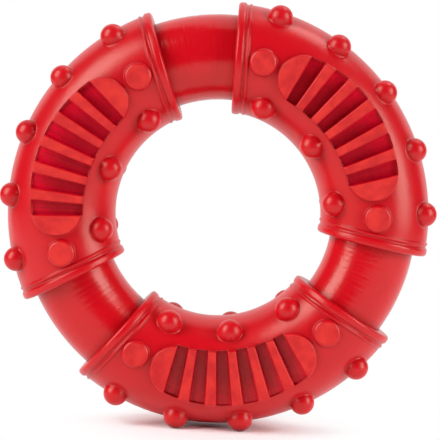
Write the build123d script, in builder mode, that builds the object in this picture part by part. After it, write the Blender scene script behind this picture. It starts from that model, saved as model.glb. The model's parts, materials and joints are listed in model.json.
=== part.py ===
"""Rubber chew ring for a dog: a smooth core ring of solid rubber with three chew sleeves moulded over it.

Millimetres and degrees. The ring stands on its edge on the plane z = 0, with its axis along Y and its front
towards -Y. Each sleeve is first modelled at home: on a ring that lies flat, front up, its middle on +X.
"""

import os
from math import cos, degrees, radians, sin

from build123d import *

# Core ring
RING_RADIUS = 53.5  # from the ring's axis to the middle of the tube
CORE_RADIUS = 14.5  # the smooth tube that shows between the sleeves
LAP_LENGTH = 4.0  # how far a sleeve's end laps over the full core
BOND_GAP = 0.05  # film between the core and a sleeve

# Sleeves, set evenly round the ring from the bottom one
SLEEVE_NAMES = ("sleeve_bottom", "sleeve_right", "sleeve_left")
SLEEVE_RADIUS = 18.45
SLEEVE_WALL = 7.1  # from the sleeve's surface down to the core's waist inside it
SLEEVE_HALF_ARC = 47.3  # from the sleeve's middle to the middle of its end face
END_LEAN = 2.2  # how far an end face leans open from the ring's own radius

# Collar and bead at each end of a sleeve
COLLAR_RISE = 0.6
COLLAR_WIDTH = 2.9
COLLAR_EDGE = 1.0  # rounding of the collar's two outer edges
BEAD_GAP = 0.7
BEAD_WIDTH = 1.1
BEAD_RISE = 0.5

# Ribbed chewing pad, one on the front and one on the back of each sleeve
PAD_RISE = 1.2  # flat top of the pad above the crown of the sleeve
PAD_INNER_GAP = 1.3182  # between the pad and the inner row of studs
PAD_OUTER_GAP = 1.4782  # between the pad and the outer row of studs, at the middle of the pad
PAD_BOW = 2.0  # how far the pad's outer edge swells between its two caps
CAP_ARC = 7.4  # rounded cap at each end of the ribs
RIB_COUNT = 5
RIB_ARC = 3.55
SLOT_ARC = 4.75
SLOT_DEPTH = 4.7
PAD_ROOT = 5.0  # how deep the pad's block starts below the crown of the sleeve
PAD_EDGE = 0.6  # rounding of the pad's top edges

# Ball studs, in an outer and an inner row on each face of a sleeve
STUD_RADIUS = 4.2
STUD_NECK = 0.3  # straight part below the dome
STUD_ROOT = 2.0  # how deep a stud starts below the sleeve's surface
STUD_FOOT = 0.45  # rounding where a stud meets the sleeve
OUTER_STUD_COUNT = 5
OUTER_STUD_TILT = 60.0  # from straight ahead, away from the ring's axis
OUTER_STUD_SETBACK = 10.55  # last stud from the end of the sleeve
INNER_STUD_COUNT = 3
INNER_STUD_TILT = 48.5  # and towards it
INNER_STUD_SETBACK = 15.7

# Flat button studs beside the pad's caps, as high as the pad
BUTTON_RADIUS = 4.7
BUTTON_EDGE = 1.3
BUTTON_ROOT = 3.0
BUTTON_SETBACK = 9.6


def arc_of(length):
    """Angle that a length along the middle of the tube takes up."""
    return degrees(length / RING_RADIUS)


# Sizes that follow from the ones above
WAIST_RADIUS = SLEEVE_RADIUS - SLEEVE_WALL
SLEEVE_STEP = 360 / len(SLEEVE_NAMES)
PAD_PLANE = SLEEVE_RADIUS + PAD_RISE
PAD_INNER_REACH = SLEEVE_RADIUS * sin(radians(INNER_STUD_TILT)) - STUD_RADIUS - PAD_INNER_GAP
PAD_OUTER_REACH = SLEEVE_RADIUS * sin(radians(OUTER_STUD_TILT)) - STUD_RADIUS - PAD_OUTER_GAP
PAD_SHOULDER_REACH = PAD_OUTER_REACH - PAD_BOW
FIELD_HALF_ARC = (RIB_COUNT * RIB_ARC + (RIB_COUNT + 1) * SLOT_ARC) / 2
OUTER_STUD_SPREAD = SLEEVE_HALF_ARC - arc_of(OUTER_STUD_SETBACK)
OUTER_STUD_PITCH = 2 * OUTER_STUD_SPREAD / (OUTER_STUD_COUNT - 1)

# The bottom sleeve is turned so that the ring rests on two neighbouring studs of each face
BOTTOM_ANGLE = 270 + OUTER_STUD_PITCH / 2
STUD_RING_RADIUS = RING_RADIUS + (SLEEVE_RADIUS + STUD_NECK) * sin(radians(OUTER_STUD_TILT))
AXIS_HEIGHT = STUD_RING_RADIUS * cos(radians(OUTER_STUD_PITCH / 2)) + STUD_RADIUS


def polar(radius, angle):
    """Point in the flat ring's plane."""
    return (radius * cos(radians(angle)), radius * sin(radians(angle)))


def section_plane(angle, lean=0.0):
    """Plane across the tube, its x away from the ring's axis and its y to the front."""
    x, y = polar(1, angle + lean)
    return Plane(origin=(*polar(RING_RADIUS, angle), 0), x_dir=(x, y, 0), z_dir=(y, -x, 0))


def end_plane(side, setback):
    """Plane parallel to a sleeve's end face, set back from it along the tube, side being 1 or -1."""
    turn = arc_of(setback)
    return section_plane(side * (SLEEVE_HALF_ARC - turn), side * (END_LEAN + turn))


def stud_plane(angle, tilt):
    """Plane on the sleeve's surface, facing straight out of it."""
    ahead, across = polar(1, tilt)
    foot = polar(RING_RADIUS + SLEEVE_RADIUS * across, angle)
    return Plane(origin=(*foot, SLEEVE_RADIUS * ahead), z_dir=(*polar(across, angle), ahead))


def spread(half_arc, count):
    """Angles spaced evenly from one end of an arc to the other."""
    return [half_arc * (2 * i / (count - 1) - 1) for i in range(count)]


def seat_plane(angle):
    """The flat ring's frame set up on edge and turned so that home +X points along the angle."""
    x, z = polar(1, angle)
    return Plane(origin=(0, 0, AXIS_HEIGHT), x_dir=(x, 0, z), z_dir=(0, -1, 0))


def core_shape(film):
    """The flat core ring with a film of the given thickness laid over it."""
    neck_half_arc = SLEEVE_STEP / 2 - SLEEVE_HALF_ARC + arc_of(LAP_LENGTH + film)
    with BuildPart() as core:
        with BuildSketch(section_plane(0)):
            Circle(WAIST_RADIUS + film)
        revolve(axis=Axis.Z)
        for i in range(len(SLEEVE_NAMES)):
            with BuildSketch(section_plane(SLEEVE_STEP * (i + 0.5) - neck_half_arc)):
                Circle(CORE_RADIUS + film)
            revolve(axis=Axis.Z, revolution_arc=2 * neck_half_arc)
    return core.part


def ball_stud():
    """Dome on a short neck, standing on the plane z = 0."""
    with BuildPart() as stud:
        with BuildSketch(Plane.XY.offset(-STUD_ROOT)):
            Circle(STUD_RADIUS)
        extrude(amount=STUD_ROOT + STUD_NECK)
        with Locations((0, 0, STUD_NECK)):
            Sphere(STUD_RADIUS, arc_size1=0, align=(Align.CENTER, Align.CENTER, Align.MIN))
    return stud.part


def button_stud():
    """Low flat button with a rounded edge, standing on the plane z = 0."""
    with BuildPart() as button:
        with BuildSketch(Plane.XY.offset(-BUTTON_ROOT)):
            Circle(BUTTON_RADIUS)
        extrude(amount=BUTTON_ROOT + PAD_RISE)
        fillet(button.edges().sort_by(Axis.Z)[-1], BUTTON_EDGE)
    return button.part


def pad_outline():
    """Outline of the chewing pad: a field of ribs between two rounded caps."""
    inner = RING_RADIUS - PAD_INNER_REACH
    outer = RING_RADIUS + PAD_OUTER_REACH
    shoulder = RING_RADIUS + PAD_SHOULDER_REACH
    field = FIELD_HALF_ARC
    with BuildSketch() as outline:
        with BuildLine():
            ThreePointArc(polar(shoulder, -field), polar(outer, 0), polar(shoulder, field))
            ThreePointArc(polar(inner, -field), polar(inner, 0), polar(inner, field))
            for side in (-field, field):
                tip = polar(RING_RADIUS, side * (1 + CAP_ARC / field))
                ThreePointArc(polar(shoulder, side), tip, polar(inner, side))
        make_face()
    return outline.sketch


def end_bands(side):
    """Collar and bead round one end of the home sleeve, side being 1 or -1."""
    collar = end_plane(side, COLLAR_WIDTH / 2)
    bead = end_plane(side, COLLAR_WIDTH + BEAD_GAP + BEAD_WIDTH / 2)
    collar_height = SLEEVE_RADIUS + COLLAR_RISE - WAIST_RADIUS
    with BuildPart() as bands:
        with BuildSketch(Plane(origin=collar.origin, x_dir=collar.x_dir)) as profile:
            with Locations((WAIST_RADIUS, 0)):
                Rectangle(collar_height, COLLAR_WIDTH, align=(Align.MIN, Align.CENTER))
            fillet(profile.vertices().group_by(Axis.X)[-1], COLLAR_EDGE)
        revolve(axis=Axis(collar.origin, collar.z_dir))
        with BuildSketch(Plane(origin=bead.origin, x_dir=bead.x_dir)):
            with Locations((SLEEVE_RADIUS + BEAD_RISE - BEAD_WIDTH / 2, 0)):
                Circle(BEAD_WIDTH / 2)
        revolve(axis=Axis(bead.origin, bead.z_dir))
    return bands.part


def chew_sleeve():
    """One sleeve at home, made as its front half and mirrored, like the two halves of its mould."""
    outline = pad_outline()
    near, far = RING_RADIUS - SLEEVE_RADIUS, RING_RADIUS + SLEEVE_RADIUS
    uncut_half_arc = SLEEVE_HALF_ARC + arc_of(SLEEVE_RADIUS)
    buttons = spread(SLEEVE_HALF_ARC - arc_of(BUTTON_SETBACK), 2)
    outer_studs = spread(OUTER_STUD_SPREAD, OUTER_STUD_COUNT)
    inner_studs = spread(SLEEVE_HALF_ARC - arc_of(INNER_STUD_SETBACK), INNER_STUD_COUNT)

    with BuildPart() as sleeve:
        # Plain round tube, ending inside the collars
        with BuildSketch(section_plane(-uncut_half_arc)):
            Circle(SLEEVE_RADIUS)
        revolve(axis=Axis.Z, revolution_arc=2 * uncut_half_arc)
        for side, kept in ((-1, Keep.BOTTOM), (1, Keep.TOP)):
            split(bisect_by=end_plane(side, COLLAR_WIDTH / 2), keep=kept)

        # Pad, with slots between its ribs cut down into the tube
        with BuildSketch(Plane.XY.offset(SLEEVE_RADIUS - PAD_ROOT)):
            add(outline)
        extrude(amount=PAD_ROOT + PAD_RISE)
        with BuildSketch(Plane.XY.offset(PAD_PLANE)):
            for i in range(RIB_COUNT + 1):
                first = i * (RIB_ARC + SLOT_ARC) - FIELD_HALF_ARC
                last = first + SLOT_ARC
                corners = polar(near, first), polar(far, first), polar(far, last), polar(near, last)
                with BuildLine():
                    Polyline(*corners, close=True)
                make_face()
            add(outline, mode=Mode.INTERSECT)
        extrude(amount=-SLOT_DEPTH, mode=Mode.SUBTRACT)
        fillet(sleeve.edges().group_by(Axis.Z)[-1], PAD_EDGE)

        # Studs
        with Locations(*[stud_plane(angle, 0) for angle in buttons]):
            add(button_stud())
        with Locations(
            *[stud_plane(angle, OUTER_STUD_TILT) for angle in outer_studs],
            *[stud_plane(angle, -INNER_STUD_TILT) for angle in inner_studs],
        ):
            add(ball_stud())
        fillet(sleeve.edges(Select.NEW), STUD_FOOT)

        # Collars, then the back half, then the bore that the core fills
        for side in (-1, 1):
            add(end_bands(side))
        split(bisect_by=Plane.XY, keep=Keep.TOP)
        mirror(about=Plane.XY)
        add(core_shape(BOND_GAP), mode=Mode.SUBTRACT)
    return sleeve.part


os.makedirs("parts", exist_ok=True)

with BuildPart(seat_plane(BOTTOM_ANGLE)) as core_ring:
    add(core_shape(0))
core_ring.part.label = "core_ring"
export_step(core_ring.part, "parts/core_ring.step")

home_sleeve = chew_sleeve()
for i, name in enumerate(SLEEVE_NAMES):
    with BuildPart(seat_plane(BOTTOM_ANGLE + i * SLEEVE_STEP)) as sleeve:
        add(home_sleeve)
    sleeve.part.label = name
    export_step(sleeve.part, f"parts/{name}.step")
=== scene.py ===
"""Looks of the rubber chew ring: glossy and satin red rubber on a white table, in soft studio light.

Metres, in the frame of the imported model: the ring stands on z = 0, its axis along Y and its front towards -Y.
"""

import json
from math import cos, pi, radians, sin

import bpy
from mathutils import Matrix, Vector

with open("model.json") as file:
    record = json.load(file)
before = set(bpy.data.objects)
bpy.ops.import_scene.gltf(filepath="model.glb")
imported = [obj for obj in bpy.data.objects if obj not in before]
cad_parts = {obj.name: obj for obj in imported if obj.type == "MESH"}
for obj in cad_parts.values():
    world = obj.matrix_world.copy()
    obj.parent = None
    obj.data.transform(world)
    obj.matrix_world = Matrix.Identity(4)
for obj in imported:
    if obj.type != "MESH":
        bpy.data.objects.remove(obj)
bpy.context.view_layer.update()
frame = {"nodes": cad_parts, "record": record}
mounts = {mount["name"]: mount for mount in frame["record"]["mounts"]}

# Camera, as it stood for the photograph
IMAGE_SIDE = 440  # pixels
FOCAL_PIXELS = 1944.7
RING_PIXEL = (217.86, 213.59)  # where the middle of the ring lies in the picture
CAMERA_AZIMUTH = 0.95  # degrees
CAMERA_ELEVATION = 3.49
CAMERA_ROLL = 2.71  # the ring is turned this far on its axis
CAMERA_DISTANCE = 0.666
SENSOR_WIDTH = 36.0  # millimetres

# Places on the ring
RING_MIDDLE = Vector(mounts["ring_hole"]["pos_m"])
RING_RADIUS = 0.0535  # from the ring's axis to the middle of its tube
PAD_PLANE = mounts["back_rest"]["pos_m"][1]  # flat tops of the pads and buttons, from the middle of the ring
PAD_RISE = 0.0012  # of the flat tops above the crown of the sleeve
SLEEVE_RADIUS = PAD_PLANE - PAD_RISE
SLOT_DEPTH = 0.0047  # of a slot's floor below the flat tops
FLOOR_MARGIN = 0.00006  # what counts as lying in the plane of the floors
FACING = 0.98  # how straight a floor faces forwards or backwards, at least
MATTE_RISE = (0.00012, 0.00002)  # surfaces turn matte between these depths below the flat tops
STUD_RISE = (0.0009, 0.0016)  # what stands this far proud of the sleeve has the finish of a stud
SLEEVE_STEP = 120  # degrees from one sleeve to the next
SLOT_REACH = (-0.001, 0.009)  # the slot floors get painted light, growing lighter between these distances outside the tube's middle,
RIM_START = (0.0070, 0.0080)  # and run out from here
RIM_STOP = (0.0115, 0.0107)  # to here, in a stretch where the painted corner shade is left out
RIM_MIDDLE = -90  # middle of that stretch on the bottom sleeve, in degrees from +X towards +Z
RIM_HALF_ARC = 31  # how far it reaches to each side; the sleeve's own middle lies at -81

# Colours of the rubber
DEEP_RED = (0.65, 0.002, 0.010, 1)
CLEAR_RED = (0.72, 0.004, 0.013, 1)
MATTE_RED = (0.63, 0.007, 0.013, 1)  # the flat tops,
WORN_RED = (0.81, 0.025, 0.021, 1)  # and where they are worn
WORN_SHARE = (0.3, 0.7)  # the wear sets in between these levels of its pattern
SLOT_RED = (0.76, 0.001, 0.028, 1)
GLOSS_TINT = (1.0, 0.93, 0.80, 1)
# Painted light on the slot floors: from the first factor inside to the second towards the ring's outside.
SLOT_PAINTED_LIGHT = (0.80, 1.08)
SPECK_SHADE = (0.78, 1.22)
STREAK_SHADE = (0.80, 1.20)

# Patterns: the size of their patches, and the number of finer layers in them
CLOUDS = (0.018, 3)  # of slightly different red
WEAR = (0.005, 3)  # on the flat tops
FINISH = (0.004, 4)  # of slightly different gloss
WAVES = (0.012, 1)  # gentle unevenness of a moulded surface
PEEL = (0.003, 1)  # finer unevenness, which mottles the highlights
GRAIN = (0.0006, 2)  # skin of the mould
SPECKS = (0.0011, 2)  # on the floors of the slots
STREAKS = (0.0008, 1)  # along the slots
MARKS = (0.0012, 1)  # round the tube of the smooth core

# Relief and finish
WAVE_DEPTH = 0.00012
PEEL_DEPTH = 0.00005
GRAIN_DEPTH = 0.000012
MARK_DEPTH = 0.00006
GLOSS_ROUGHNESS = (0.20, 0.27)  # the smooth core
SATIN_ROUGHNESS = (0.28, 0.34)  # the sleeves
STUD_ROUGHNESS = (0.30, 0.38)
MATTE_ROUGHNESS = (0.66, 0.80)  # the flat tops
EDGE_SOFTNESS = 0.0007  # edges and corners of the sleeves look rounded by this much
CREVICE_REACH = 0.0030  # corners closer than this get painted shade: a darker colour and less gloss
# Painted shade in the corners: the colour falls to this share, and the specular level to the gloss below.
PAINTED_CREVICE_SHADE = 0.50
CREVICE_GLOSS = 0.10
OPEN_GLOSS = 0.50
CORNER_SAMPLES = 8  # rays that feel for edges and corners

# Studio
TABLE_RADIUS = 0.55
TABLE_WHITE = (0.92, 0.92, 0.92, 1)
# Its red is held below its green and blue: a painted tint that cancels part of the pink the ring bounces into
# its shadow.
TABLE_SHOWN = (1.17, 1.32, 1.32, 1)  # it shows brighter than it lights the ring, as in a bright photograph
TABLE_FADE = (0.012, 0.060)  # the shadow fades out between these distances from the ring's foot
TABLE_CORNERS = 96
ROOM_RADIUS = 1.4
ROOM_GREY = (0.03, 0.03, 0.03, 1)
ROOM_TURN = 125  # the dark side of the room reaches this far to each side of the camera
ROOM_RISE = (-50, 82)
ROOM_STEPS = 24
WORLD_WHITE = (1, 1, 1, 1)

# Softboxes: name, bearing from the camera's side, rise, width, height and brightness
SOFTBOXES = (
    ("box_left", -58, 29, 0.52, 0.86, 6.4),
    ("box_right", 63, 17, 0.52, 0.70, 5.8),
    ("box_rim", 115, 62, 0.34, 0.34, 4.5),
)
SOFTBOX_DISTANCE = 1.0


def add_node(tree, kind, inputs=None, **settings):
    """Adds a shader node; inputs gives its sockets a value or the socket that feeds them."""
    node = tree.nodes.new(kind)
    for name, value in settings.items():
        setattr(node, name, value)
    for socket, value in (inputs or {}).items():
        if isinstance(value, bpy.types.NodeSocket):
            tree.links.new(value, node.inputs[socket])
        else:
            node.inputs[socket].default_value = value
    return node


def new_tree(owner):
    """Empty node tree of a material or a world."""
    owner.use_nodes = True
    owner.node_tree.nodes.clear()
    return owner.node_tree


def compute(tree, operation, *values):
    """Sum, product or the like of numbers or sockets."""
    return add_node(tree, "ShaderNodeMath", dict(enumerate(values)), operation=operation).outputs[0]


def length(tree, *parts):
    """Length of a vector with the given parts."""
    vector = add_node(tree, "ShaderNodeCombineXYZ", dict(enumerate(parts))).outputs[0]
    return add_node(tree, "ShaderNodeVectorMath", {0: vector}, operation="LENGTH").outputs["Value"]


def ramp(tree, value, start, end):
    """Number that goes smoothly from 0 to 1 as a value goes from start to end."""
    reach = {"Value": value, "From Min": start, "From Max": end}
    return add_node(tree, "ShaderNodeMapRange", reach, interpolation_type="SMOOTHSTEP").outputs[0]


def spread(tree, share, span):
    """Number that goes through a span as share goes from 0 to 1."""
    reach = {"Value": share, "To Min": span[0], "To Max": span[1]}
    return add_node(tree, "ShaderNodeMapRange", reach).outputs[0]


def blend(tree, share, first, second):
    """Number that goes from the first to the second as share goes from 0 to 1."""
    return add_node(tree, "ShaderNodeMix", {"Factor": share, "A": first, "B": second}).outputs["Result"]


def mix_colour(tree, share, first, second):
    """Colour that goes from the first to the second as share goes from 0 to 1."""
    mix = {"Factor": share, "A": first, "B": second}
    return add_node(tree, "ShaderNodeMix", mix, data_type="RGBA").outputs[2]


def shaded(tree, colour, shade):
    """Colour made darker or lighter by a factor."""
    return add_node(tree, "ShaderNodeVectorMath", {0: colour, "Scale": shade}, operation="SCALE").outputs[0]


def noise(tree, place, size, layers):
    """Cloudy pattern from 0 to 1."""
    pattern = {"Vector": place, "Scale": 1 / size, "Detail": layers}
    return add_node(tree, "ShaderNodeTexNoise", pattern).outputs["Fac"]


def streaks(tree, angle, size, layers):
    """Pattern from 0 to 1 of marks across the ring, with its size measured along the middle of the tube."""
    pattern = {"W": angle, "Scale": RING_RADIUS / size, "Detail": layers}
    return add_node(tree, "ShaderNodeTexNoise", pattern, noise_dimensions="1D").outputs["Fac"]


def bump(tree, height, depth, normal):
    """Normal of a surface with a relief of the given depth."""
    relief = {"Height": height, "Strength": 1.0, "Distance": depth, "Normal": normal}
    return add_node(tree, "ShaderNodeBump", relief).outputs["Normal"]


def ring_places(tree):
    """Place of a point, the way to it from the ring's middle, and its angle round the ring's axis."""
    place = add_node(tree, "ShaderNodeTexCoord").outputs["Object"]
    from_middle = add_node(tree, "ShaderNodeVectorMath", {0: place, 1: RING_MIDDLE}, operation="SUBTRACT")
    way = add_node(tree, "ShaderNodeSeparateXYZ", {0: from_middle.outputs[0]}).outputs
    return place, way, compute(tree, "ARCTAN2", way["Z"], way["X"])


def red(tree, place):
    """Red that clouds a little."""
    return mix_colour(tree, noise(tree, place, *CLOUDS), DEEP_RED, CLEAR_RED)


def finish(tree, place, span):
    """Roughness that varies over the surface within a span."""
    return spread(tree, noise(tree, place, *FINISH), span)


def moulded(tree, place, normal):
    """Normal of a moulded surface: gently uneven, with a fine grain."""
    waved = bump(tree, noise(tree, place, *WAVES), WAVE_DEPTH, normal)
    peeled = bump(tree, noise(tree, place, *PEEL), PEEL_DEPTH, waved)
    return bump(tree, noise(tree, place, *GRAIN), GRAIN_DEPTH, peeled)


def openness(tree):
    """1 on open surfaces, less in narrow corners; it sets how much painted shade darkens and dulls them."""
    reach = {"Distance": CREVICE_REACH}
    return add_node(tree, "ShaderNodeAmbientOcclusion", reach, samples=CORNER_SAMPLES).outputs["AO"]


def painted_corner_shade(tree, open_share):
    """Factor that darkens the corners: painted shade."""
    return blend(tree, open_share, PAINTED_CREVICE_SHADE, 1.0)


def add_rubber(tree, colour, roughness, open_share, normal):
    """Rubber as the tree's surface, with painted shade that takes gloss out of the corners."""
    look = {
        "Base Color": colour,
        "Roughness": roughness,
        "Specular IOR Level": blend(tree, open_share, CREVICE_GLOSS, OPEN_GLOSS),
        "Specular Tint": GLOSS_TINT,
        "Normal": normal,
    }
    shader = add_node(tree, "ShaderNodeBsdfPrincipled", look)
    add_node(tree, "ShaderNodeOutputMaterial", {"Surface": shader.outputs["BSDF"]})


def core_material():
    """Glossy rubber of the smooth core, with faint marks that run round its tube."""
    material = bpy.data.materials.new("core_rubber")
    tree = new_tree(material)
    place, _, angle = ring_places(tree)
    smooth = add_node(tree, "ShaderNodeNewGeometry").outputs["Normal"]
    marked = bump(tree, streaks(tree, angle, *MARKS), MARK_DEPTH, smooth)
    open_share = openness(tree)
    # Painted shade: the red is darkened in the corners.
    colour = shaded(tree, red(tree, place), painted_corner_shade(tree, open_share))
    roughness = finish(tree, place, GLOSS_ROUGHNESS)
    add_rubber(tree, colour, roughness, open_share, moulded(tree, place, marked))
    return material


def slot_floor(tree, below):
    """1 on the floors of the slots and 0 elsewhere, for a depth below the flat tops."""
    normal = add_node(tree, "ShaderNodeNewGeometry").outputs["True Normal"]
    turn = add_node(tree, "ShaderNodeSeparateXYZ", {0: normal}).outputs["Y"]
    facing = compute(tree, "GREATER_THAN", compute(tree, "ABSOLUTE", turn), FACING)
    off_floor = compute(tree, "ABSOLUTE", compute(tree, "SUBTRACT", below, SLOT_DEPTH))
    return compute(tree, "MULTIPLY", facing, compute(tree, "LESS_THAN", off_floor, FLOOR_MARGIN))


def slot_painted_light_and_streaks(tree, place, angle, outward):
    """Factor for the floors of the slots: uneven, and lighter towards the outside of the ring, where painted
    light stands for the light that the open ends let in.
    """
    painted_light = spread(tree, ramp(tree, outward, *SLOT_REACH), SLOT_PAINTED_LIGHT)
    speckled = spread(tree, noise(tree, place, *SPECKS), SPECK_SHADE)
    streaked = spread(tree, streaks(tree, angle, *STREAKS), STREAK_SHADE)
    return compute(tree, "MULTIPLY", painted_light, compute(tree, "MULTIPLY", speckled, streaked))


def slot_rim(tree, angle, outward):
    """1 in the stretch along the outer ends of the slots where the painted corner shade is left out, and 0
    elsewhere.
    """
    from_bottom = compute(tree, "SUBTRACT", angle, radians(RIM_MIDDLE))
    from_nearest = compute(tree, "PINGPONG", from_bottom, radians(SLEEVE_STEP / 2))
    beside_slots = compute(tree, "LESS_THAN", from_nearest, radians(RIM_HALF_ARC))
    edge = compute(tree, "MULTIPLY", ramp(tree, outward, *RIM_START), ramp(tree, outward, *RIM_STOP))
    return compute(tree, "MULTIPLY", beside_slots, edge)


def sleeve_material():
    """Satin rubber of the sleeves, softer on the studs, matte on the flat tops and streaked in the slots."""
    material = bpy.data.materials.new("sleeve_rubber")
    tree = new_tree(material)
    place, way, angle = ring_places(tree)
    outward = compute(tree, "SUBTRACT", length(tree, way["X"], way["Z"]), RING_RADIUS)
    proud = compute(tree, "SUBTRACT", length(tree, outward, way["Y"]), SLEEVE_RADIUS)
    below = compute(tree, "SUBTRACT", PAD_PLANE, compute(tree, "ABSOLUTE", way["Y"]))
    on_stud = ramp(tree, proud, *STUD_RISE)
    on_top = ramp(tree, below, *MATTE_RISE)
    in_slot = slot_floor(tree, below)

    wear = ramp(tree, noise(tree, place, *WEAR), *WORN_SHARE)
    top = mix_colour(tree, wear, MATTE_RED, WORN_RED)
    colour = mix_colour(tree, in_slot, mix_colour(tree, on_top, red(tree, place), top), SLOT_RED)
    open_share = openness(tree)
    # Painted shade darkens the corners, except along the slots' outer ends; the slot floors get painted light
    # towards the ring's outside.
    corner_painted_shade = blend(tree, slot_rim(tree, angle, outward), painted_corner_shade(tree, open_share), 1.0)
    shade = blend(tree, in_slot, corner_painted_shade, slot_painted_light_and_streaks(tree, place, angle, outward))

    satin, soft, matte = (
        finish(tree, place, span) for span in (SATIN_ROUGHNESS, STUD_ROUGHNESS, MATTE_ROUGHNESS)
    )
    roughness = blend(tree, on_top, blend(tree, on_stud, satin, soft), matte)
    edges = {"Radius": EDGE_SOFTNESS}
    rounded = add_node(tree, "ShaderNodeBevel", edges, samples=CORNER_SAMPLES).outputs["Normal"]
    add_rubber(tree, shaded(tree, colour, shade), roughness, open_share, moulded(tree, place, rounded))
    return material


def seen_directly(tree):
    """1 for the camera and for reflections and clear things, 0 for the light that falls on the object."""
    rays = add_node(tree, "ShaderNodeLightPath").outputs
    either = compute(tree, "MAXIMUM", rays["Is Camera Ray"], rays["Is Glossy Ray"])
    return compute(tree, "MAXIMUM", either, rays["Is Transmission Ray"])


def table_material():
    """White table top that keeps the ring's shadow near its foot and turns into the background further out.

    It is clear from below, where it would hide the ring.
    """
    material = bpy.data.materials.new("table_white")
    tree = new_tree(material)
    seen = seen_directly(tree)
    white = mix_colour(tree, seen, TABLE_WHITE, TABLE_SHOWN)
    lit = add_node(tree, "ShaderNodeBsdfDiffuse", {"Color": white})
    surface = add_node(tree, "ShaderNodeNewGeometry").outputs
    distance = add_node(tree, "ShaderNodeVectorMath", {0: surface["Position"]}, operation="LENGTH")
    share = compute(tree, "MULTIPLY", ramp(tree, distance.outputs["Value"], *TABLE_FADE), seen)
    far = add_node(tree, "ShaderNodeEmission", {"Strength": 1.0})
    top = add_node(tree, "ShaderNodeMixShader", {0: share, 1: lit.outputs[0], 2: far.outputs[0]})
    clear = add_node(tree, "ShaderNodeBsdfTransparent")
    sides = {0: surface["Backfacing"], 1: top.outputs[0], 2: clear.outputs[0]}
    both = add_node(tree, "ShaderNodeMixShader", sides)
    add_node(tree, "ShaderNodeOutputMaterial", {"Surface": both.outputs[0]})
    return material


def room_material():
    """Dark grey of the room behind the camera."""
    material = bpy.data.materials.new("room_grey")
    tree = new_tree(material)
    lit = add_node(tree, "ShaderNodeBsdfDiffuse", {"Color": ROOM_GREY})
    add_node(tree, "ShaderNodeOutputMaterial", {"Surface": lit.outputs[0]})
    return material


def add_stage(name, corners, faces, material):
    """Mesh that belongs to the studio and not to the ring."""
    mesh = bpy.data.meshes.new(name)
    mesh.from_pydata(corners, [], faces)
    mesh.materials.append(material)
    made = bpy.data.objects.new(name, mesh)
    bpy.context.scene.collection.objects.link(made)
    return made


def toward(bearing, rise):
    """Direction from the ring: bearing in degrees to the right of the camera's side, rise above the table."""
    bearing, rise = radians(bearing), radians(rise)
    return Vector((sin(bearing) * cos(rise), -cos(bearing) * cos(rise), sin(rise)))


def add_table():
    """Round table top under the ring."""
    turns = [2 * pi * i / TABLE_CORNERS for i in range(TABLE_CORNERS)]
    corners = [(TABLE_RADIUS * cos(turn), TABLE_RADIUS * sin(turn), 0) for turn in turns]
    add_stage("table", corners, [range(TABLE_CORNERS)], table_material())


def add_dark_room():
    """Dark side of the room, behind the camera and the lamps."""
    low, high = ROOM_RISE
    row = ROOM_STEPS + 1
    corners = [
        toward(ROOM_TURN * (2 * i / ROOM_STEPS - 1), low + (high - low) * j / ROOM_STEPS) * ROOM_RADIUS
        for j in range(row)
        for i in range(row)
    ]
    faces = [
        (j * row + i, j * row + i + 1, (j + 1) * row + i + 1, (j + 1) * row + i)
        for j in range(ROOM_STEPS)
        for i in range(ROOM_STEPS)
    ]
    room = add_stage("dark_room", corners, faces, room_material())
    room.visible_camera = False


def add_world():
    """White background, which also lights the ring from behind."""
    world = bpy.data.worlds.new("studio")
    tree = new_tree(world)
    background = add_node(tree, "ShaderNodeBackground", {"Color": WORLD_WHITE, "Strength": 1.0})
    add_node(tree, "ShaderNodeOutputWorld", {"Surface": background.outputs[0]})
    bpy.context.scene.world = world


def add_softbox(name, bearing, rise, width, height, brightness):
    """Rectangular lamp that faces the ring, with a face of the given brightness."""
    lamp = bpy.data.lights.new(name, "AREA")
    lamp.shape = "RECTANGLE"
    lamp.size, lamp.size_y = width, height
    lamp.energy = brightness * pi * width * height
    box = bpy.data.objects.new(name, lamp)
    outward = toward(bearing, rise)
    box.location = RING_MIDDLE + outward * SOFTBOX_DISTANCE
    box.rotation_mode = "QUATERNION"
    box.rotation_quaternion = (-outward).to_track_quat("-Z", "Y")
    box.visible_camera = False
    bpy.context.scene.collection.objects.link(box)


def add_camera():
    """Camera at the photograph's place, turned about the ring's axis as the photograph is."""
    back = toward(CAMERA_AZIMUTH, CAMERA_ELEVATION)
    upright = (-back).to_track_quat("-Z", "Y").to_matrix()
    turned = Matrix.Rotation(-radians(CAMERA_ROLL), 3, "Y") @ upright

    lens = bpy.data.cameras.new("camera")
    lens.sensor_width = SENSOR_WIDTH
    lens.lens = SENSOR_WIDTH * FOCAL_PIXELS / IMAGE_SIDE
    lens.shift_x = 0.5 - RING_PIXEL[0] / IMAGE_SIDE
    lens.shift_y = RING_PIXEL[1] / IMAGE_SIDE - 0.5
    camera = bpy.data.objects.new("camera", lens)
    camera.rotation_mode = "QUATERNION"
    camera.rotation_quaternion = turned.to_quaternion()
    camera.location = RING_MIDDLE + turned @ Vector((0, 0, CAMERA_DISTANCE))
    bpy.context.scene.collection.objects.link(camera)
    bpy.context.scene.camera = camera


core_rubber = core_material()
sleeve_rubber = sleeve_material()
for name, node in frame["nodes"].items():
    node.data.materials.clear()
    node.data.materials.append(core_rubber if name == "core_ring" else sleeve_rubber)

add_table()
add_dark_room()
add_world()
for softbox in SOFTBOXES:
    add_softbox(*softbox)
add_camera()
bpy.context.scene.view_settings.view_transform = "Standard"
